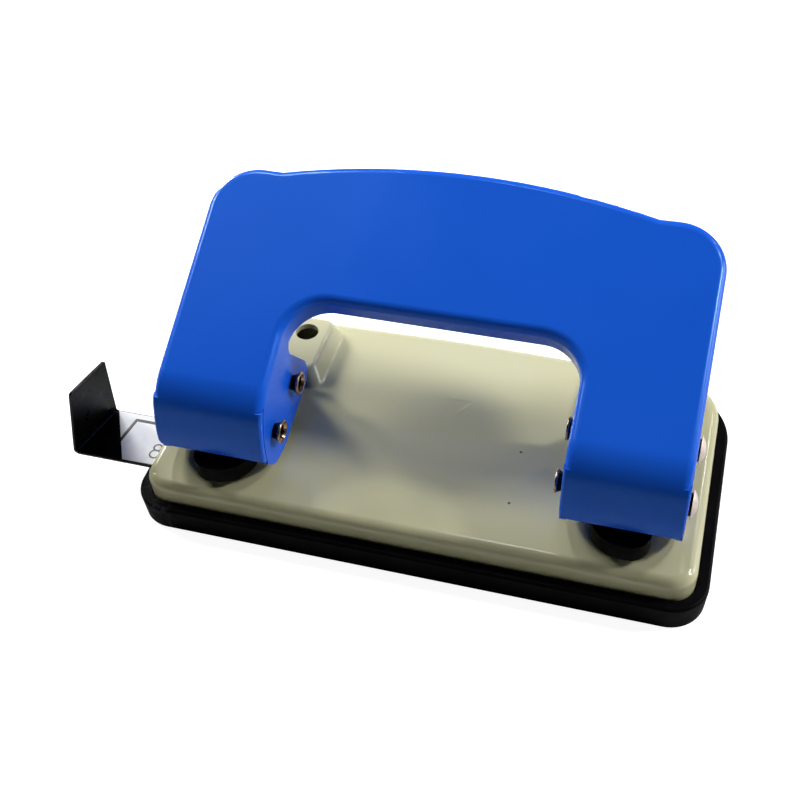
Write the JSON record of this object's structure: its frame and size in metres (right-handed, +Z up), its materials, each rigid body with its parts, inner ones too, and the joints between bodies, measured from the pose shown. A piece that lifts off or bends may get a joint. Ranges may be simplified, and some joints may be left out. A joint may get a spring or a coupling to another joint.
{
  "type": "two-hole paper punch",
  "caption": "Compact desk paper punch with a bridge-shaped blue lever handle, pressed cream base plate, black chip tray and sliding paper guide.",
  "frame": {"origin": "centre of the chip tray's flat underside", "axes": "+X along the length towards the right leg, +Y away from the side where paper enters, +Z up"},
  "size_m": [0.1321, 0.0613, 0.054],
  "materials": {
    "handle_blue": "glossy paint",
    "plate_cream": "glossy paint",
    "tray_black": "satin",
    "dark_steel": "satin black",
    "rivet_nickel": "satin",
    "pin_steel": "ground",
    "spring_steel": "satin",
    "zinc_steel": "satin",
    "guide_black": "satin",
    "panel_white": "printed"
  },
  "bodies": {
    "chassis": {"base_plate": "plate_cream", "bracket_left": "dark_steel", "bracket_right": "dark_steel", "bracket_rivets_left": "zinc_steel", "bracket_rivets_right": "zinc_steel", "die_left": "pin_steel", "die_right": "pin_steel", "pivot_rivet_left": "rivet_nickel", "pivot_rivet_right": "rivet_nickel", "guide_strap": "zinc_steel"},
    "tray": {"chip_tray": "tray_black"},
    "handle": {"lever_handle": "handle_blue", "drive_rivet_left": "rivet_nickel", "drive_rivet_right": "rivet_nickel"},
    "punch_left": {"punch_pin_left": "pin_steel", "spring_washer_left": "zinc_steel", "pin_clip_left": "spring_steel", "return_spring_left": "spring_steel"},
    "punch_right": {"punch_pin_right": "pin_steel", "spring_washer_right": "zinc_steel", "pin_clip_right": "spring_steel", "return_spring_right": "spring_steel"},
    "guide": {"paper_guide": "guide_black", "guide_panel": "panel_white"}
  },
  "joints": [
    {"name": "handle_press", "type": "hinge", "parent": "chassis", "child": "handle", "pos_m": [0, -0.0159, 0.0208], "axis": [-1, 0, 0], "range_deg": [0, 17], "stiffness_Nm_per_rad": 0.4, "springref_deg": -17.19},
    {"name": "punch_left_slide", "type": "slide", "parent": "chassis", "child": "punch_left", "axis": [0, 0, -1], "range_m": [0, 0.00345], "deforming": ["return_spring_left"]},
    {"name": "punch_right_slide", "type": "slide", "parent": "chassis", "child": "punch_right", "axis": [0, 0, -1], "range_m": [0, 0.00345], "deforming": ["return_spring_right"]},
    {"name": "guide_slide", "type": "slide", "parent": "chassis", "child": "guide", "axis": [-1, 0, 0], "range_m": [-0.005, 0.0755]},
    {"name": "tray_pull", "type": "slide", "parent": "chassis", "child": "tray", "axis": [0, 0, -1], "range_m": [0, 0.03]}
  ],
  "couplings": [
    {"joint": "punch_left_slide", "follows": "handle_press", "m_per_rad": 0.011557},
    {"joint": "punch_right_slide", "follows": "handle_press", "m_per_rad": 0.011557}
  ]
}
